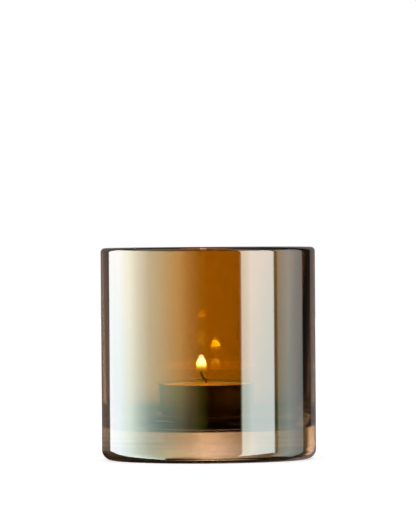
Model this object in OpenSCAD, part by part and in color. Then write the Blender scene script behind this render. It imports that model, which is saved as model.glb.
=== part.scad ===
// Lustre glass tealight holder with a lit tealight standing in it.
// Millimetres, +Z up. The origin is the middle of the face that the glass stands on.

/* [Glass] */
// Outer diameter of the glass
glass_d = 87; // [80:0.5:110]
// Height of the glass
glass_h = 86; // [68:0.5:120]
// Thickness of the side wall at its rounded rim
wall_t = 3.4; // [2.6:0.1:5]
// Thickness that the side wall has grown to where it reaches the inner floor
heel_t = 8; // [6:0.1:9]
// Thickness of the solid base under the inner floor
base_t = 12; // [9:0.1:18]
// Radius of the outer corner between the wall and the underside
foot_r = 4.2; // [2:0.1:6]
// Radius of the wide inner corner between the wall and the floor
floor_r = 12; // [4:0.5:13]
// Width of the flat ring that the glass stands on
ring_w = 8; // [4:0.5:14]
// Depth of the shallow dome ground into the underside
dome_depth = 0.5; // [0.2:0.1:1.5]

/* [Tealight cup] */
// Outer diameter of the cup's wall
cup_d = 38.2; // [31:0.1:46]
// Height of the cup
cup_h = 18; // [14:0.1:22]
// Thickness of the aluminium sheet
sheet_t = 0.2; // [0.15:0.05:0.4]
// Radius of the rolled bead around the cup's rim
bead_r = 0.3; // [0.25:0.05:0.6]
// Radius of the cup's lower corner
cup_corner_r = 1.4; // [0.6:0.1:2.5]
// Diameter of the stamped panel that lifts the middle of the cup's floor
panel_d = 29; // [20:0.5:30]
// Height that the stamped panel is lifted by
panel_h = 0.6; // [0.3:0.1:1.5]
// Distance that the tealight stands off the middle of the glass, as a hand puts it down
cup_offset = -0.9; // [-3:0.1:3]

/* [Wax] */
// Gap between the wax and the cup's wall
wax_gap = 0.3; // [0.2:0.05:0.8]
// Depth of the wax surface under the cup's rim
wax_drop = 0.8; // [0.4:0.1:6]
// Radius of the moulded edges of the wax
wax_edge_r = 0.7; // [0.3:0.1:1.5]
// Depth that the melt has hollowed the wax surface by
melt_depth = 0.3; // [0.1:0.1:0.6]

/* [Wick] */
// Diameter of the cotton wick below the flame
wick_d = 1.4; // [1:0.1:2]
// Diameter of the charred end of the wick
char_d = 0.9; // [0.6:0.1:1]
// Height of the wick's upright stretch above the wax
wick_rise = 0.4; // [0.2:0.1:3]
// Length of the taper from the full wick to its charred end
taper_h = 0.8; // [0.4:0.1:2]
// Bend radius where the charred end leans over
lean_r = 1.6; // [1.2:0.1:4]
// Angle that the charred end leans over by
lean_a = 48; // [20:1:60]
// Straight stretch between the two bends
lean_l = 0.6; // [0.3:0.1:3]
// Bend radius where the charred end curls back
curl_r = 3.4; // [2:0.1:6]
// Angle that the charred end curls back by
curl_a = 66; // [30:1:110]

/* [Wick sustainer] */
// Diameter of the sustainer's disc
disc_d = 12.6; // [10:0.1:16]
// Thickness of the tinplate
tin_t = 0.25; // [0.2:0.05:0.4]
// Height of the crimped neck above the disc
neck_h = 4; // [2:0.1:6]
// Clearance between the moulded wax and what is cast into it
cast_gap = 0.05; // [0.02:0.01:0.1]

/* [Hidden] */
$fn = 96;

glass_r = glass_d / 2;
inner_r = glass_r - wall_t;
rim_r = wall_t / 2;
heel_r = glass_r - heel_t;
// Lean of the cavity's wall off the vertical, and the middle of its rounded inner corner
wall_lean = atan((inner_r - heel_r) / (glass_h - rim_r - base_t));
corner_x = heel_r - floor_r * (1 / cos(wall_lean) - tan(wall_lean));
ring_r = glass_r - foot_r;
dome_r = ring_r - ring_w;
dome_sphere_r = (pow(dome_r, 2) + pow(dome_depth, 2)) / (2 * dome_depth);

cup_r = cup_d / 2;
panel_r = panel_d / 2;
bead_x = cup_r - sheet_t + bead_r;
// A 45 degree flank moved out by the sheet's thickness ends this much further from the axis.
flank_shift = sheet_t * tan(22.5);

seat_z = panel_h + sheet_t;
wax_r = cup_r - sheet_t - wax_gap;
wax_top = cup_h - wax_drop;
melt_r = wax_r - 2 * wax_edge_r;
melt_sphere_r = (pow(melt_r, 2) + pow(melt_depth, 2)) / (2 * melt_depth);

wick_r = wick_d / 2;
char_r = char_d / 2;
neck_r = wick_r + tin_t;
neck_top = seat_z + tin_t + neck_h;
pool_z = wax_top - melt_depth;
bend_z = pool_z + wick_rise + taper_h;
// Sides of the wick, and steps in its lean
wick_sides = 16;
bend_steps = 6;
// How far a cut runs past the face that it opens through
through = 1;

// Everything in the tealight is drawn from the cup's underside and set down on the glass floor.
module on_floor() {
    translate([cup_offset, 0, base_t]) children();
}

// A rectangle against the axis, from z0 to z1, whose lower outer corner is rounded.
module round_footed(r, z0, z1, corner) {
    translate([0, z0 + corner]) square([r, z1 - z0 - corner]);
    translate([0, z0]) square([r - corner, corner]);
    translate([r - corner, z0 + corner]) circle(corner);
}

// The cavity narrows downwards and turns into the floor through a wide round corner.
module cavity_section() {
    polygon([
        [0, base_t],
        [corner_x, base_t],
        [corner_x + floor_r * cos(wall_lean), base_t + floor_r * (1 - sin(wall_lean))],
        [inner_r, glass_h - rim_r],
        [inner_r, glass_h + through],
        [0, glass_h + through]
    ]);
    translate([corner_x, base_t + floor_r]) circle(floor_r);
}

module glass_section() {
    difference() {
        union() {
            round_footed(glass_r, 0, glass_h - rim_r, foot_r);
            translate([inner_r + rim_r, glass_h - rim_r]) circle(rim_r);
        }
        cavity_section();
        translate([0, dome_depth - dome_sphere_r]) circle(dome_sphere_r);
    }
}

module glass_body() {
    color("darkgoldenrod", 0.6)
        rotate_extrude() intersection() {
            glass_section();
            square([glass_r + through, glass_h + through]);
        }
}

// The trapezoid by which a stamped floor is lifted in its middle.
module lifted_panel(z0, shift) {
    polygon([
        [0, z0 - through],
        [panel_r + shift + panel_h, z0 - through],
        [panel_r + shift + panel_h, z0],
        [panel_r + shift, z0 + panel_h],
        [0, z0 + panel_h]
    ]);
}

module tealight_cup() {
    color("silver") on_floor() rotate_extrude() {
        difference() {
            round_footed(cup_r, 0, cup_h - bead_r, cup_corner_r);
            lifted_panel(0, 0);
            difference() {
                round_footed(cup_r - sheet_t, sheet_t, cup_h, cup_corner_r - sheet_t);
                lifted_panel(sheet_t, flank_shift);
            }
        }
        translate([bead_x, cup_h - bead_r]) circle(bead_r);
    }
}

module wax_section() {
    difference() {
        union() {
            translate([0, seat_z]) square([wax_r - wax_edge_r, wax_top - seat_z]);
            translate([0, seat_z + wax_edge_r]) square([wax_r, wax_top - seat_z - 2 * wax_edge_r]);
            translate([wax_r - wax_edge_r, seat_z + wax_edge_r]) circle(wax_edge_r);
            translate([wax_r - wax_edge_r, wax_top - wax_edge_r]) circle(wax_edge_r);
        }
        translate([0, pool_z + melt_sphere_r]) circle(melt_sphere_r);
        square([wick_r + cast_gap, cup_h]);
        square([neck_r + cast_gap, neck_top + cast_gap]);
        square([disc_d / 2 + cast_gap, seat_z + tin_t + cast_gap]);
    }
}

module candle_wax() {
    color("antiquewhite") on_floor() rotate_extrude() intersection() {
        wax_section();
        square([wax_r + through, cup_h]);
    }
}

module wick_sustainer() {
    color("lightsteelblue") on_floor() difference() {
        union() {
            translate([0, 0, seat_z]) cylinder(d = disc_d, h = tin_t);
            translate([0, 0, seat_z]) cylinder(r = neck_r, h = tin_t + neck_h);
        }
        translate([0, 0, seat_z - through]) cylinder(r = wick_r, h = tin_t + neck_h + 2 * through);
    }
}

// A station of the wick is [x, z, lean to -X, radius], in the plane of its bends.
function lean_station(a) = [-lean_r * (1 - cos(a)), bend_z + lean_r * sin(a), a, char_r];
function along(s, length, radius) = [s[0] - length * sin(s[2]), s[1] + length * cos(s[2]), s[2], radius];
function curl_station(s, a) = [
    s[0] + curl_r * (cos(s[2]) - cos(s[2] - a)),
    s[1] + curl_r * (sin(s[2]) - sin(s[2] - a)),
    s[2] - a,
    char_r
];
// The ring of points around a station, square to the wick.
function ring(s) = [
    for (i = [0 : wick_sides - 1]) let (turn = 360 * i / wick_sides) [
        s[0] + s[3] * cos(turn) * cos(s[2]),
        s[3] * sin(turn),
        s[1] + s[3] * cos(turn) * sin(s[2])
    ]
];

module rod_through(stations) {
    last = len(stations) - 1;
    polyhedron(
        points = [for (s = stations) each ring(s)],
        faces = concat(
            [[for (i = [0 : wick_sides - 1]) i]],
            [for (j = [0 : last - 1]) for (i = [0 : wick_sides - 1])
                let (here = j * wick_sides, next = (i + 1) % wick_sides)
                    [here + i, here + wick_sides + i, here + wick_sides + next, here + next]],
            [[for (i = [wick_sides - 1 : -1 : 0]) last * wick_sides + i]]
        )
    );
}

module wick() {
    lean = [for (i = [0 : bend_steps]) lean_station(lean_a * i / bend_steps)];
    leant = along(lean[bend_steps], lean_l, char_r);
    curl = [for (i = [0 : 2 * bend_steps]) curl_station(leant, curl_a * i / (2 * bend_steps))];
    tip = [
        for (a = [30 : 30 : 60])
            along(curl[2 * bend_steps], char_r * sin(a), char_r * cos(a))
    ];
    color("dimgray") on_floor() rod_through(concat(
        [[0, seat_z, 0, wick_r], [0, pool_z + wick_rise, 0, wick_r]], lean, curl, tip
    ));
}

glass_body();
tealight_cup();
candle_wax();
wick_sustainer();
wick();
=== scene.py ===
"""Looks of the lustre glass tealight holder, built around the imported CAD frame.

Everything is in metres, +Z up, with the origin in the middle of the face the glass stands on.
The camera looks along +Y from in front of the glass.
"""

import math

import bmesh
import bpy
from mathutils import Matrix, Vector, noise


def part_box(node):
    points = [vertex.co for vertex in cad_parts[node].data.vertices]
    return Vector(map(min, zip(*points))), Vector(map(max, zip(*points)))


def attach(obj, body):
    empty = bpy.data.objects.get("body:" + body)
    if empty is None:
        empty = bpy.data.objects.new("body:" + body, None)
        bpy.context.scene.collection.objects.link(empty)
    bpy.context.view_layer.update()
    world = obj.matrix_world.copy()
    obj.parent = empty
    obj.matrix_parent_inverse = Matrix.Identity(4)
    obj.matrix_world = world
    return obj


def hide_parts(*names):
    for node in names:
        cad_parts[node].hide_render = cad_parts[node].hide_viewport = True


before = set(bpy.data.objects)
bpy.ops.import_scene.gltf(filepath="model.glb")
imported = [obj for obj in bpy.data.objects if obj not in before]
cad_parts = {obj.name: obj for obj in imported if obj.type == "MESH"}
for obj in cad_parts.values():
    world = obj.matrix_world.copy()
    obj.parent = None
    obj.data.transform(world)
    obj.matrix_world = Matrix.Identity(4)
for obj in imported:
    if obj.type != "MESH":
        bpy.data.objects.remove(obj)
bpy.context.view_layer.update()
scene = bpy.context.scene
MM = 0.001

# ---------------------------------------------------------------- sizes from the frame
glass_low, glass_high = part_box("glass_body")
cup_low, cup_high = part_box("tealight_cup")
wax_low, wax_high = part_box("candle_wax")
wick_low, wick_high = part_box("wick")

GLASS_R = (glass_high.x - glass_low.x) / 2
GLASS_H = glass_high.z
FLOOR_Z = cup_low.z
CUP_X = (cup_low.x + cup_high.x) / 2
CUP_TOP = cup_high.z
WAX_LOW = wax_low.z
WAX_TOP = wax_high.z
WAX_R = (wax_high.x - wax_low.x) / 2

# Sizes of the glass that its box doesn't tell, as the CAD has them
WALL = 3.4 * MM
HEEL = 8 * MM
RIM_R = WALL / 2
FOOT_R = 4.2 * MM
FLOOR_R = 12 * MM
RING_W = 8 * MM
DOME_DEPTH = 0.5 * MM
# Sizes of the cup
SHEET = 0.2 * MM
BEAD_R = 0.3 * MM
CUP_R = 19.1 * MM
CUP_CORNER_R = 1.4 * MM
PANEL_R = 14.5 * MM
PANEL_H = 0.6 * MM
# Sizes of the wax and the wick
WAX_EDGE_R = 0.7 * MM
MELT_DEPTH = 0.3 * MM
WICK_R = 0.7 * MM
CHAR_R = 0.45 * MM
WICK_RISE = 0.4 * MM
TAPER_H = 0.8 * MM
LEAN_R = 1.6 * MM
LEAN = math.radians(48)
LEAN_L = 0.6 * MM
CURL_R = 3.4 * MM
CURL = math.radians(66)


# ---------------------------------------------------------------- camera
CAMERA_DISTANCE = 2.2
CAMERA_HEIGHT = 0.099
AIM = Vector((0.0001, 0.0, 0.0811))
PIXELS_PER_METRE = 2463.0
FRAME_WIDTH_PX = 416
SENSOR = 36.0
# The photograph is this much off level.
ROLL = math.radians(-0.4)


def make_camera():
    data = bpy.data.cameras.new("camera")
    data.sensor_fit = "HORIZONTAL"
    data.sensor_width = SENSOR
    data.lens = PIXELS_PER_METRE * CAMERA_DISTANCE * SENSOR / FRAME_WIDTH_PX
    data.clip_end = 20
    camera = bpy.data.objects.new("camera", data)
    scene.collection.objects.link(camera)
    camera.location = (0, -CAMERA_DISTANCE, CAMERA_HEIGHT)
    look = (AIM - camera.location).to_track_quat("-Z", "Y")
    camera.rotation_mode = "QUATERNION"
    camera.rotation_quaternion = look @ Matrix.Rotation(ROLL, 3, "Z").to_quaternion()
    scene.camera = camera


# ---------------------------------------------------------------- shader helpers
def as_colour(value):
    return value if isinstance(value, tuple) else (value, value, value)


class Nodes:
    """Adds nodes to one tree and wires them up, so that materials read as short lists."""

    def __init__(self, tree):
        self.tree = tree
        tree.nodes.clear()

    def add(self, kind, inputs=None, **settings):
        node = self.tree.nodes.new(kind)
        for name, value in settings.items():
            setattr(node, name, value)
        for name, value in (inputs or {}).items():
            self.put(node.inputs[name], value)
        return node

    def put(self, socket, value):
        if isinstance(value, bpy.types.NodeSocket):
            self.tree.links.new(value, socket)
        else:
            socket.default_value = value

    def math(self, operation, a, b=0.0, c=0.0):
        node = self.add("ShaderNodeMath", {0: a, 1: b, 2: c}, operation=operation)
        return node.outputs[0]

    def ramp(self, factor, stops):
        """A ramp through (place, colour) stops, where a colour may be a single grey."""
        node = self.add("ShaderNodeValToRGB", {"Fac": factor})
        elements = node.color_ramp.elements
        while len(elements) < len(stops):
            elements.new(0.5)
        for element, (place, colour) in zip(elements, stops):
            element.position = place
            element.color = (*as_colour(colour), 1)
        return node.outputs["Color"]

    def mix(self, factor, a, b, blend="MIX"):
        node = self.add("ShaderNodeMix", data_type="RGBA", blend_type=blend)
        self.put(node.inputs[0], factor)
        self.put(node.inputs[6], a)
        self.put(node.inputs[7], b)
        return node.outputs[2]

    def place(self):
        """Where the shaded point is, in the piece's own metres."""
        return self.add("ShaderNodeTexCoord").outputs["Object"]

    def height(self):
        return self.add("ShaderNodeSeparateXYZ", {0: self.place()}).outputs["Z"]

    def grain(self, scale, stretch=(1, 1, 1), detail=4.0):
        """Noise of the given scale, stretched along the piece's axes."""
        where = self.add("ShaderNodeMapping", {"Vector": self.place(), "Scale": stretch})
        texture = self.add("ShaderNodeTexNoise", {
            "Vector": where.outputs[0], "Scale": scale, "Detail": detail,
        })
        return texture.outputs["Fac"]

    def bump(self, height, distance, strength=1.0):
        node = self.add("ShaderNodeBump", {
            "Height": height, "Distance": distance, "Strength": strength,
        })
        return node.outputs[0]


def new_material(name, inputs=None):
    material = bpy.data.materials.new(name)
    material.use_nodes = True
    nodes = Nodes(material.node_tree)
    output = nodes.add("ShaderNodeOutputMaterial")
    shader = nodes.add("ShaderNodeBsdfPrincipled", inputs)
    nodes.put(output.inputs["Surface"], shader.outputs[0])
    return material, nodes, shader, output


def feed(nodes, shader, inputs):
    for name, value in inputs.items():
        nodes.put(shader.inputs[name], value)


# ---------------------------------------------------------------- mesh helpers
def arc(centre_r, centre_z, radius, start, end, steps):
    """Points on an arc of a profile, with the angles in degrees from the outward direction."""
    points = []
    for i in range(steps + 1):
        a = math.radians(start + (end - start) * i / steps)
        points.append((centre_r + radius * math.cos(a), centre_z + radius * math.sin(a)))
    return points


def line(a, b, steps):
    """Points on a straight stretch of a profile, without its two ends."""
    return [
        (a[0] + (b[0] - a[0]) * i / steps, a[1] + (b[1] - a[1]) * i / steps)
        for i in range(1, steps)
    ]


def link(name, bm, materials):
    for face in bm.faces:
        face.smooth = True
    bmesh.ops.recalc_face_normals(bm, faces=bm.faces)
    mesh = bpy.data.meshes.new(name)
    bm.to_mesh(mesh)
    bm.free()
    for material in materials:
        mesh.materials.append(material)
    piece = bpy.data.objects.new(name, mesh)
    scene.collection.objects.link(piece)
    return piece


def lathe(name, profile, segments, materials, centre_x=0.0, move=None, bands=None):
    """Turns a profile of (r, z) points that begins and ends on a vertical axis.

    move(point) may shift each vertex; bands gives the material index of each profile step.
    """
    bm = bmesh.new()
    rings = []
    for r, z in profile:
        count = 1 if r < 1e-9 else segments
        ring = []
        for i in range(count):
            a = 2 * math.pi * i / count
            point = Vector((r * math.cos(a), r * math.sin(a), z))
            if move:
                point = move(point)
            ring.append(bm.verts.new((point.x + centre_x, point.y, point.z)))
        rings.append(ring)
    for step, (low, high) in enumerate(zip(rings, rings[1:])):
        for i in range(segments):
            j = (i + 1) % segments
            if len(low) == 1:
                corners = (low[0], high[j], high[i])
            elif len(high) == 1:
                corners = (low[i], low[j], high[0])
            else:
                corners = (low[i], low[j], high[j], high[i])
            face = bm.faces.new(corners)
            if bands:
                face.material_index = bands[step]
    return link(name, bm, materials)


# ---------------------------------------------------------------- glass
GLASS_SIDES = 224
# How deep and how long the waves in the wall are, and the height over which they fade in
WAVE = 0.015 * MM
WAVE_LENGTH = 34 * MM
WAVE_FADE = 12 * MM
# Places in the noise that the waves are taken from, so that the two faces differ
OUTSIDE_NOISE = Vector((3.1, 7.7, 1.3))
INSIDE_NOISE = Vector((9, 2, 5))


def glass_profile():
    """The glass's section from the middle of its underside round to the middle of its floor."""
    ring_r = GLASS_R - FOOT_R
    dome_r = ring_r - RING_W
    inner_r = GLASS_R - WALL
    sphere = (dome_r**2 + DOME_DEPTH**2) / (2 * DOME_DEPTH)
    dome = [
        (dome_r * i / 12, DOME_DEPTH - sphere + math.sqrt(sphere**2 - (dome_r * i / 12) ** 2))
        for i in range(13)
    ]
    foot = arc(ring_r, FOOT_R, FOOT_R, -90, 0, 16)
    rim = arc(inner_r + RIM_R, GLASS_H - RIM_R, RIM_R, 0, 180, 24)
    lean = math.atan2(HEEL - WALL, GLASS_H - RIM_R - FLOOR_Z)
    corner_r = GLASS_R - HEEL - FLOOR_R * (1 / math.cos(lean) - math.tan(lean))
    corner = arc(corner_r, FLOOR_Z + FLOOR_R, FLOOR_R, -math.degrees(lean), -90, 32)
    outside = dome + line(dome[-1], foot[0], 6) + foot + line(foot[-1], rim[0], 56) + rim
    floor = corner + line(corner[-1], (0, FLOOR_Z), 18) + [(0, FLOOR_Z)]
    inside = line(rim[-1], corner[0], 48) + floor
    return outside + inside, [0] * (len(outside) - 1) + [1] * len(inside)


def blown(point):
    """The slight unevenness of hand-worked glass, which differs inside and outside the wall."""
    r = math.hypot(point.x, point.y)
    outside = r > GLASS_R - WALL / 2
    low = FOOT_R if outside else FLOOR_Z + FLOOR_R
    fade = min(1.0, max(0.0, point.z - low) / WAVE_FADE)
    if fade == 0 or point.z > GLASS_H - 2 * RIM_R:
        return point
    where = Vector((point.x, point.y, point.z * 0.6)) / WAVE_LENGTH + OUTSIDE_NOISE
    if not outside:
        where = where * 1.4 + INSIDE_NOISE
    push = WAVE * noise.noise(where)
    return Vector((point.x * (1 + fade * push / r), point.y * (1 + fade * push / r), point.z))


def lustre_outside():
    """Glass under a thin fired lustre, palest at the foot, that mirrors the room."""
    material, nodes, shader, _ = new_material("lustre_outside", {
        "IOR": 1.5,
        "Roughness": 0.0,
        "Transmission Weight": 1.0,
        "Coat Weight": 1.0,
        "Coat Roughness": 0.0,
        "Coat IOR": 3.6,
    })
    film = nodes.math("MULTIPLY_ADD", nodes.grain(26, (1, 1, 0.35)), 1.2 * MM, -0.6 * MM)
    up = nodes.math("DIVIDE", nodes.math("ADD", nodes.height(), film), GLASS_H)
    feed(nodes, shader, {"Base Color": nodes.ramp(up, [
        (0.03, (0.97, 0.600, 0.350)),
        (0.06, (0.89, 0.520, 0.300)),
        (0.11, (0.73, 0.400, 0.195)),
        (0.15, (0.74, 0.400, 0.180)),
        (0.30, (0.78, 0.425, 0.187)),
    ])})
    return material


def lustre_inside():
    """The amber lustre on the cavity's wall, with painted shade that turns it near black above the floor."""
    material, nodes, shader, _ = new_material("lustre_inside", {
        "IOR": 1.5,
        "Roughness": 0.0,
        "Transmission Weight": 1.0,
        "Specular IOR Level": 0.9,
        "Specular Tint": (1.0, 0.58, 0.16, 1),
    })
    drift = nodes.math("MULTIPLY_ADD", nodes.grain(38, (1, 1, 0.5)), 3 * MM, -1.5 * MM)
    up = nodes.math("DIVIDE", nodes.math("ADD", nodes.height(), drift), GLASS_H)
    # Painted shade: near black from just above the floor up to 0.19 of the glass's height, amber again from
    # 0.3.
    colour = nodes.ramp(up, [
        (FLOOR_Z / GLASS_H + 0.020, (0.36, 0.15, 0.003)),
        (FLOOR_Z / GLASS_H + 0.035, (0.004, 0.002, 0.001)),
        (0.190, (0.020, 0.010, 0.002)),
        (0.300, (0.46, 0.23, 0.004)),
        (0.400, (0.51, 0.25, 0.0026)),
        (1.000, (0.53, 0.255, 0.0022)),
    ])
    feed(nodes, shader, {"Base Color": colour})
    return material


def make_glass():
    profile, bands = glass_profile()
    materials = [lustre_outside(), lustre_inside()]
    glass = lathe("glass", profile, GLASS_SIDES, materials, move=blown, bands=bands)
    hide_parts("glass_body")
    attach(glass, "holder")


# ---------------------------------------------------------------- tealight cup
CUP_SIDES = 144
DENT = 0.05 * MM
DENT_LENGTH = 6 * MM


def drawn_aluminium():
    material, nodes, shader, _ = new_material("drawn_aluminium", {
        "Metallic": 0.75,
    })
    lines = nodes.grain(900, (1, 1, 0.06), 3.0)
    blotch = nodes.grain(60)
    feed(nodes, shader, {
        "Base Color": nodes.ramp(blotch, [(0.3, (0.42, 0.42, 0.43)), (0.7, (0.52, 0.52, 0.53))]),
        "Roughness": nodes.math("MULTIPLY_ADD", lines, 0.25, 0.30),
        "Normal": nodes.bump(lines, 0.05 * MM, 0.5),
    })
    return material


def dented(point):
    """Thumb-soft dents in the thin sheet."""
    r = math.hypot(point.x, point.y)
    if r < CUP_R * 0.9:
        return point
    where = Vector((point.x, point.y, point.z * 0.5)) / DENT_LENGTH
    push = DENT * noise.noise(where)
    return Vector((point.x * (1 + push / r), point.y * (1 + push / r), point.z))


def make_cup():
    z0 = FLOOR_Z
    lip = CUP_TOP - BEAD_R
    outer = [(0, z0 + PANEL_H)] + line((0, z0 + PANEL_H), (PANEL_R, z0 + PANEL_H), 6)
    outer += [(PANEL_R, z0 + PANEL_H), (PANEL_R + PANEL_H, z0)]
    outer += arc(CUP_R - CUP_CORNER_R, z0 + CUP_CORNER_R, CUP_CORNER_R, -90, 0, 8)
    outer += line(outer[-1], (CUP_R, lip - BEAD_R), 20)
    bead = arc(CUP_R - SHEET + BEAD_R, lip, BEAD_R, -60, 180, 14)
    inner = [(CUP_R - SHEET, lip - BEAD_R)]
    inner += line(inner[0], (CUP_R - SHEET, z0 + CUP_CORNER_R), 20)
    inner += arc(CUP_R - CUP_CORNER_R, z0 + CUP_CORNER_R, CUP_CORNER_R - SHEET, 0, -90, 8)
    shift = SHEET * math.tan(math.radians(22.5))
    top = z0 + PANEL_H + SHEET
    inner += [(PANEL_R + PANEL_H + shift, z0 + SHEET), (PANEL_R + shift, top)]
    inner += line(inner[-1], (0, top), 6) + [(0, top)]
    profile = outer + bead + inner
    cup = lathe("cup", profile, CUP_SIDES, [drawn_aluminium()], centre_x=CUP_X, move=dented)
    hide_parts("tealight_cup")
    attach(cup, "tealight")


# ---------------------------------------------------------------- wax
WAX_SIDES = 96
# Rings in the wax surface, and how it climbs to its wall and up the wick
POOL_RINGS = 28
WALL_CLIMB_WIDTH = 1.1 * MM
WICK_CLIMB = 0.30 * MM
WICK_CLIMB_WIDTH = 0.7 * MM


def paraffin():
    """Wax that is glossy where it has melted, and paler and duller at its edge.

    The emission stands in for the flame's light, which the wax scatters.
    """
    material, nodes, shader, _ = new_material("paraffin", {
        "IOR": 1.44,
        "Subsurface Weight": 0.5,
        "Subsurface Radius": (1.0, 0.55, 0.25),
        "Subsurface Scale": 4 * MM,
    })
    split = nodes.add("ShaderNodeSeparateXYZ", {0: nodes.place()})
    off_x = nodes.math("SUBTRACT", split.outputs["X"], CUP_X)
    squares = nodes.math("ADD", nodes.math("POWER", off_x, 2.0), nodes.math("POWER", split.outputs["Y"], 2.0))
    away = nodes.math("DIVIDE", nodes.math("SQRT", squares), WAX_R)
    ragged = nodes.math("MULTIPLY_ADD", nodes.grain(140), 0.10, away)
    pool = nodes.ramp(ragged, [(0.86, (0, 0, 0)), (0.96, (1, 1, 1))])
    feed(nodes, shader, {
        "Base Color": nodes.mix(pool, (0.30, 0.23, 0.16, 1), (0.42, 0.36, 0.28, 1)),
        "Roughness": nodes.math("MULTIPLY_ADD", pool, 0.40, 0.06),
        "Normal": nodes.bump(nodes.grain(420), 0.05 * MM, 0.35),
        "Emission Color": nodes.mix(nodes.grain(160), (0.66, 0.38, 0.20, 1), (0.86, 0.50, 0.28, 1)),
        "Emission Strength": 0.6,
    })
    return material


def make_wax():
    surface = WAX_TOP - MELT_DEPTH
    crest = WAX_R - WAX_EDGE_R
    side = arc(crest, WAX_LOW + WAX_EDGE_R, WAX_EDGE_R, -90, 0, 6)
    edge = arc(crest, WAX_TOP - WAX_EDGE_R, WAX_EDGE_R, 0, 90, 6)
    pool = []
    for i in range(1, POOL_RINGS + 1):
        r = crest * (1 - i / POOL_RINGS)
        at_wall = MELT_DEPTH * math.exp(-(crest - r) / WALL_CLIMB_WIDTH)
        at_wick = WICK_CLIMB * math.exp(-max(0.0, r - WICK_R) / WICK_CLIMB_WIDTH)
        pool.append((r, surface + at_wall + at_wick))
    profile = [(0, WAX_LOW)] + side + line(side[-1], edge[0], 8) + edge + pool
    wax = lathe("wax", profile, WAX_SIDES, [paraffin()], centre_x=CUP_X)
    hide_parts("candle_wax")
    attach(wax, "candle")


# ---------------------------------------------------------------- wick
def wick_path():
    """Stations (x, z, lean, radius) up the wick, whose bends lie in the XZ plane."""
    low = wick_low.z
    bend = WAX_TOP - MELT_DEPTH + WICK_RISE + TAPER_H
    stations = [(0.0, low + (bend - TAPER_H - low) * i / 24, 0.0, WICK_R) for i in range(25)]
    for i in range(1, 7):
        stations.append((0.0, bend - TAPER_H * (1 - i / 6), 0.0, WICK_R + (CHAR_R - WICK_R) * i / 6))
    for i in range(1, 9):
        a = LEAN * i / 8
        stations.append((-LEAN_R * (1 - math.cos(a)), bend + LEAN_R * math.sin(a), a, CHAR_R))
    x, z, a0, _ = stations[-1]
    x, z = x - LEAN_L * math.sin(a0), z + LEAN_L * math.cos(a0)
    for i in range(1, 19):
        a = a0 - CURL * i / 18
        stations.append((
            x + CURL_R * (math.cos(a0) - math.cos(a)),
            z + CURL_R * (math.sin(a0) - math.sin(a)),
            a,
            CHAR_R * (1.0 if i < 16 else 0.85 - 0.2 * (i - 16)),
        ))
    return stations


def burnt_cotton():
    """Waxed pale cotton at the foot under a painted glow of the flame's light, then brown, then char with a
    dull ember at the end.
    """
    material, nodes, shader, _ = new_material("burnt_cotton")
    low = WAX_TOP - MELT_DEPTH
    up = nodes.math("DIVIDE", nodes.math("SUBTRACT", nodes.height(), low), wick_high.z - low)
    ragged = nodes.math("MULTIPLY_ADD", nodes.grain(900), 0.12, up)
    fibres = nodes.grain(2600, (1, 1, 0.3))
    feed(nodes, shader, {
        "Base Color": nodes.ramp(ragged, [
            (0.10, (0.62, 0.50, 0.34)), (0.26, (0.18, 0.10, 0.05)), (0.40, (0.016, 0.012, 0.010)),
        ]),
        "Roughness": 0.85,
        "Normal": nodes.bump(fibres, 0.08 * MM, 0.8),
        # Painted light: the orange emission low on the wick stands in for the flame's light on it; the ember
        # at the tip glows of itself.
        "Emission Color": nodes.ramp(ragged, [
            (0.02, (0.9, 0.42, 0.12)), (0.22, (0.25, 0.08, 0.01)), (0.32, (0, 0, 0)),
            (0.97, (0, 0, 0)), (1.0, (1.0, 0.25, 0.03)),
        ]),
        "Emission Strength": 1.5,
    })
    return material


def make_wick():
    """Three strands laid round the wick's path."""
    strands, sides, pitch = 3, 10, 2.6 * MM
    bm = bmesh.new()
    for strand in range(strands):
        rings = []
        run = 0.0
        before = None
        for x, z, lean, radius in wick_path():
            if before:
                run += math.hypot(x - before[0], z - before[1])
            before = (x, z)
            turn = 2 * math.pi * (strand / strands + run / pitch)
            across = Vector((math.cos(lean), 0, math.sin(lean)))
            beside = Vector((0, 1, 0))
            middle = Vector((x + CUP_X, 0, z))
            middle += 0.46 * radius * (across * math.cos(turn) + beside * math.sin(turn))
            rings.append([
                bm.verts.new(middle + 0.54 * radius * (
                    across * math.cos(2 * math.pi * k / sides) + beside * math.sin(2 * math.pi * k / sides)
                ))
                for k in range(sides)
            ])
        for low, high in zip(rings, rings[1:]):
            for k in range(sides):
                m = (k + 1) % sides
                bm.faces.new((low[k], low[m], high[m], high[k]))
        bm.faces.new(rings[0][::-1])
        bm.faces.new(rings[-1])
    wick = link("wick_braid", bm, [burnt_cotton()])
    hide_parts("wick")
    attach(wick, "candle")


def dress_sustainer():
    """The sustainer keeps its CAD shape: it is cast into the wax and only wants its tinplate."""
    material, nodes, shader, _ = new_material("tinplate", {"Metallic": 1.0})
    grain = nodes.grain(500, (1, 0.1, 1))
    feed(nodes, shader, {
        "Base Color": nodes.ramp(grain, [(0.3, (0.55, 0.56, 0.58)), (0.7, (0.68, 0.69, 0.70))]),
        "Roughness": nodes.math("MULTIPLY_ADD", grain, 0.2, 0.25),
    })
    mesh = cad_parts["wick_sustainer"].data
    mesh.materials.clear()
    mesh.materials.append(material)


# ---------------------------------------------------------------- flame
FLAME_X = CUP_X - 2.0 * MM
FLAME_LOW = 33.9 * MM
FLAME_TOP = 41.4 * MM
FLAME_R = 2.3 * MM
FLAME_SIDES = 40
FLAME_GAIN = 48.0
# The flame's outline, as (share of its height, share of its radius)
FLAME_SHAPE = [
    (0.0, 0.40), (0.06, 0.70), (0.14, 0.88), (0.24, 0.97), (0.36, 1.0), (0.48, 0.98),
    (0.60, 0.91), (0.72, 0.79), (0.82, 0.64), (0.90, 0.47), (0.96, 0.29), (0.99, 0.13), (1.0, 0.0),
]


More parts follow.
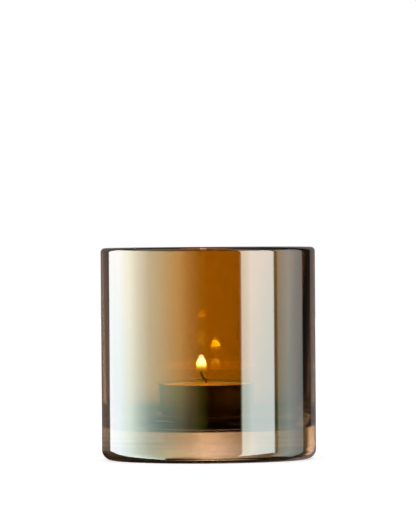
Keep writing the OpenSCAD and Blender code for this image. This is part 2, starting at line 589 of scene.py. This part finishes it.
def flame_shell(name, low, high, girth, colours, solidity):
    """A drop of burning gas: its colour and its solidity both change with height."""
    profile = [(0, low)] + [
        (FLAME_R * girth * wide, low + (high - low) * up) for up, wide in FLAME_SHAPE
    ]
    material, nodes, shader, output = new_material(name, {
        "Base Color": (0, 0, 0, 1),
        "Roughness": 1.0,
        "Specular IOR Level": 0.0,
        "Emission Strength": FLAME_GAIN,
    })
    up = nodes.math("DIVIDE", nodes.math("SUBTRACT", nodes.height(), low), high - low)
    lick = nodes.math("MULTIPLY_ADD", nodes.grain(420), 0.08, nodes.math("SUBTRACT", up, 0.04))
    feed(nodes, shader, {"Emission Color": nodes.ramp(lick, colours)})
    solid = nodes.ramp(lick, solidity)
    air = nodes.add("ShaderNodeBsdfTransparent")
    both = nodes.add("ShaderNodeMixShader", {0: solid, 1: air.outputs[0], 2: shader.outputs[0]})
    nodes.put(output.inputs["Surface"], both.outputs[0])
    flame = lathe(name, profile, FLAME_SIDES, [material], centre_x=FLAME_X)
    flame.visible_shadow = False
    flame.visible_diffuse = False
    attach(flame, "candle")


def make_flame():
    flame_shell("flame_mantle", FLAME_LOW, FLAME_TOP, 1.0, [
        (0.00, (0.012, 0.006, 0.004)),
        (0.30, (0.034, 0.022, 0.006)),
        (0.60, (0.060, 0.080, 0.040)),
        (0.85, (0.060, 0.072, 0.500)),
    ], [(0.0, 0.0), (0.15, 0.35), (0.45, 0.4), (0.6, 0.15), (0.78, 0.2), (0.9, 0.9)])
    low = FLAME_LOW + 0.12 * (FLAME_TOP - FLAME_LOW)
    flame_shell("flame_core", low, FLAME_TOP - 1.1 * MM, 0.84, [
        (0.10, (0.024, 0.017, 0.006)),
        (0.28, (0.050, 0.064, 0.030)),
        (0.42, (0.100, 0.150, 0.350)),
        (0.54, (0.400, 0.560, 1.000)),
        (1.00, (0.400, 0.560, 1.000)),
    ], [(0.0, 0.0), (0.15, 0.30), (0.42, 1.0)])
    light = bpy.data.lights.new("flame_light", "POINT")
    light.energy = 0.026
    light.color = (1.0, 0.60, 0.24)
    light.shadow_soft_size = FLAME_R
    lamp = bpy.data.objects.new("flame_light", light)
    lamp.location = (FLAME_X, 0, (FLAME_LOW + FLAME_TOP) / 2)
    lamp.visible_glossy = False
    lamp.visible_transmission = False
    lamp.visible_camera = False
    scene.collection.objects.link(lamp)
    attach(lamp, "candle")


# ---------------------------------------------------------------- studio
BRIGHTEST = 2.6
# Share of the room that is left far from the horizon, for light that has run through the glass
STEEP = 0.12
ROOM_LIGHT = 1.0
# Heights are given as a rise: 0 is straight down, 0.5 is the horizon and 1 is straight up.
PANELS_END = 0.47
BACKDROP_BREAK = 0.474
BELOW_PANELS = (0.02, 0.015, 0.01, 1)
WHITE = (1, 1, 1, 1)

# What the glass mirrors, as (bearing in degrees, colour). The bearing runs from straight behind
# the camera, positive towards +X.
MIRRORED = [
    (-180, (0.22, 0.16, 0.13)),
    (-134.0, (0.18, 0.13, 0.11)),
    (-132.5, (2.30, 2.28, 2.22)),
    (-112, (2.30, 2.48, 2.46)),
    (-94, (1.96, 2.20, 1.85)),
    (-79, (1.28, 1.50, 1.21)),
    (-66, (0.87, 1.03, 0.72)),
    (-53.5, (0.70, 0.82, 0.50)),
    (-42, (0.61, 0.62, 0.32)),
    (-30.5, (0.53, 0.45, 0.18)),
    (-20, (0.28, 0.21, 0.075)),
    (-9, (0.065, 0.07, 0.01)),
    (0, (0, 0, 0)),
    (35.0, (0, 0, 0)),
    (35.8, (1.25, 1.34, 1.08)),
    (41, (1.32, 1.45, 1.22)),
    (47, (1.58, 1.74, 1.58)),
    (74.4, (1.55, 1.70, 1.55)),
    (75.4, (0.10, 0.12, 0.06)),
    (79, (0.10, 0.12, 0.06)),
    (80.5, (0.46, 0.49, 0.34)),
    (96, (0.60, 0.68, 0.60)),
    (110, (0.46, 0.49, 0.46)),
    (121.5, (0.38, 0.39, 0.36)),
    (122.7, (0.01, 0.01, 0.01)),
    (142.5, (0.01, 0.01, 0.01)),
    (145.5, (0.19, 0.15, 0.15)),
    (180, (0.22, 0.18, 0.18)),
]
# Where the low part of the mirrored room is in shade, as (bearing, how much)
SHADED_CORNER = [(-90, 0), (-72, 0.3), (-50, 1), (-20, 1), (-8, 0)]
# How much further each panel comes down than PANELS_END, as (bearing, rise)
PANEL_DEPTHS = [
    (-180, -0.010), (-130, -0.0085), (-125, 0.02), (-111, 0.20), (-90, 0.42), (-30, 0.30),
    (34, 0.30), (36, 0.28), (74, 0.03), (78, 0.27), (180, 0.27),
]
# What shows through the glass: a white backdrop in a darker room, and light from the sides. The
# wall bends sight lines down to the low part of the backdrop, and the solid base doesn't.
BACKDROP_LOW = [
    (-180, 1.72), (-178.5, 1.70), (-177, 1.50), (-172, 1.22), (-168, 0.90), (-161, 0.42), (-150, 0.20),
    (-135, 0.05), (-124, 0.08), (-118, 1.7), (-94, 1.7), (0, 1.3), (75, 1.3), (100, 0.15),
    (145, 0.05), (157, 0.12), (166, 0.22), (173, 0.40), (175, 0.62), (176.3, 0.85), (177, 1.20),
    (178.5, 1.60), (180, 1.72),
]
BACKDROP = [
    (-180, 1.75), (-176, 1.62), (-172, 1.28), (-168, 0.90), (-161, 0.42), (-150, 0.20), (-135, 0.05),
    (-124, 0.20), (-118, 2.5), (-94, 2.6), (0, 1.3), (75, 1.3), (100, 0.15), (145, 0.08), (152, 0.22),
    (157, 0.34), (161.5, 0.45), (165.4, 0.72), (169.3, 0.85), (173.2, 1.20), (176.9, 1.70), (180, 1.75),
]


def make_studio():
    """A white studio, where the glass mirrors and shows soft panels in a darker room."""
    world = bpy.data.worlds.new("studio")
    scene.world = world
    world.use_nodes = True
    world.cycles.sampling_method = "NONE"
    nodes = Nodes(world.node_tree)
    way = nodes.add("ShaderNodeTexCoord").outputs["Generated"]
    split = nodes.add("ShaderNodeSeparateXYZ", {0: way})
    front = nodes.math("MULTIPLY", split.outputs["Y"], -1.0)
    bearing = nodes.math("ARCTAN2", split.outputs["X"], front)
    turn = nodes.math("MULTIPLY_ADD", bearing, 1 / (2 * math.pi), 0.5)

    def round_the_room(stops):
        return nodes.ramp(turn, [(degrees / 360 + 0.5, value) for degrees, value in stops])

    def around(stops):
        """Colours round the room, which may be brighter than a ramp holds."""
        dimmed = [
            (degrees, tuple(c / BRIGHTEST for c in as_colour(colour))) for degrees, colour in stops
        ]
        lamp = nodes.add("ShaderNodeVectorMath", {0: round_the_room(dimmed)}, operation="SCALE")
        lamp.inputs["Scale"].default_value = BRIGHTEST
        return lamp.outputs[0]

    def times(a, b):
        return nodes.mix(1.0, a, b, "MULTIPLY")

    # What is mirrored: panels that hang from above and end at different depths, a little cooler
    # near their feet, gone high overhead, with one low corner in shade
    rise = nodes.math("MULTIPLY_ADD", split.outputs["Z"], 0.5, 0.5)
    shown = nodes.math(
        "GREATER_THAN", nodes.math("ADD", rise, round_the_room(PANEL_DEPTHS)), PANELS_END
    )
    cooled = nodes.ramp(rise, [(0.478, (0.92, 0.95, 1.0)), (0.493, 1), (0.74, 1), (0.80, 0.15)])
    shade = nodes.ramp(rise, [
        (0.4797, 1), (0.4800, (0.50, 0.60, 0.92)), (0.4806, (0.50, 0.60, 0.92)), (0.4814, 1),
    ])
    cooled = times(cooled, nodes.mix(round_the_room(SHADED_CORNER), WHITE, shade))
    mirrored = nodes.mix(shown, BELOW_PANELS, times(around(MIRRORED), cooled))

    # What is seen through the glass: the backdrop, which darkens towards the ground
    is_low = nodes.math("LESS_THAN", rise, BACKDROP_BREAK)
    sunk = nodes.ramp(rise, [(0.30, STEEP), (0.40, 1)])
    behind = times(nodes.mix(is_low, around(BACKDROP), around(BACKDROP_LOW)), sunk)

    # What is mirrored inside the glass: the room near the horizon, and straight on the backdrop
    level = nodes.ramp(rise, [(0.44, STEEP), (0.46, 1), (0.51, 1), (0.53, STEEP)])
    ahead = nodes.ramp(split.outputs["Y"], [(0.93, 0), (0.98, 1)])
    inside = nodes.mix(ahead, times(mirrored, level), behind)

    path = nodes.add("ShaderNodeLightPath")
    is_through = nodes.math("GREATER_THAN", path.outputs["Transmission Depth"], 0.5)
    is_mirrored = nodes.math("GREATER_THAN", path.outputs["Glossy Depth"], 0.5)
    is_scattered = nodes.math("GREATER_THAN", path.outputs["Diffuse Depth"], 0.5)
    colour = nodes.mix(is_through, WHITE, behind)
    colour = nodes.mix(is_mirrored, colour, nodes.mix(is_through, mirrored, inside))
    colour = nodes.mix(is_scattered, colour, (ROOM_LIGHT, ROOM_LIGHT, ROOM_LIGHT, 1))
    back = nodes.add("ShaderNodeBackground", {"Color": colour})
    out = nodes.add("ShaderNodeOutputWorld")
    nodes.put(out.inputs["Surface"], back.outputs[0])


def make_floor():
    bm = bmesh.new()
    bmesh.ops.create_grid(bm, x_segments=4, y_segments=4, size=3.0)
    material, nodes, shader, _ = new_material("white_table", {
        "Roughness": 1.0,
        "Specular IOR Level": 0.0,
        "Emission Color": (1, 1, 1, 1),
        "Emission Strength": 0.38,
    })
    feed(nodes, shader, {
        "Base Color": nodes.ramp(nodes.grain(9), [(0.3, (0.80, 0.80, 0.80)), (0.7, (0.83, 0.83, 0.83))]),
    })
    floor = link("floor", bm, [material])
    floor.visible_glossy = False
    floor.visible_transmission = False


def set_rendering():
    scene.view_settings.view_transform = "Standard"
    scene.cycles.use_denoising = True
    scene.cycles.max_bounces = 32
    scene.cycles.transmission_bounces = 24
    scene.cycles.glossy_bounces = 12
    scene.cycles.diffuse_bounces = 3
    scene.cycles.transparent_max_bounces = 16
    scene.cycles.sample_clamp_indirect = 20


make_camera()
make_glass()
make_cup()
make_wax()
make_wick()
dress_sustainer()
make_flame()
make_studio()
make_floor()
set_rendering()
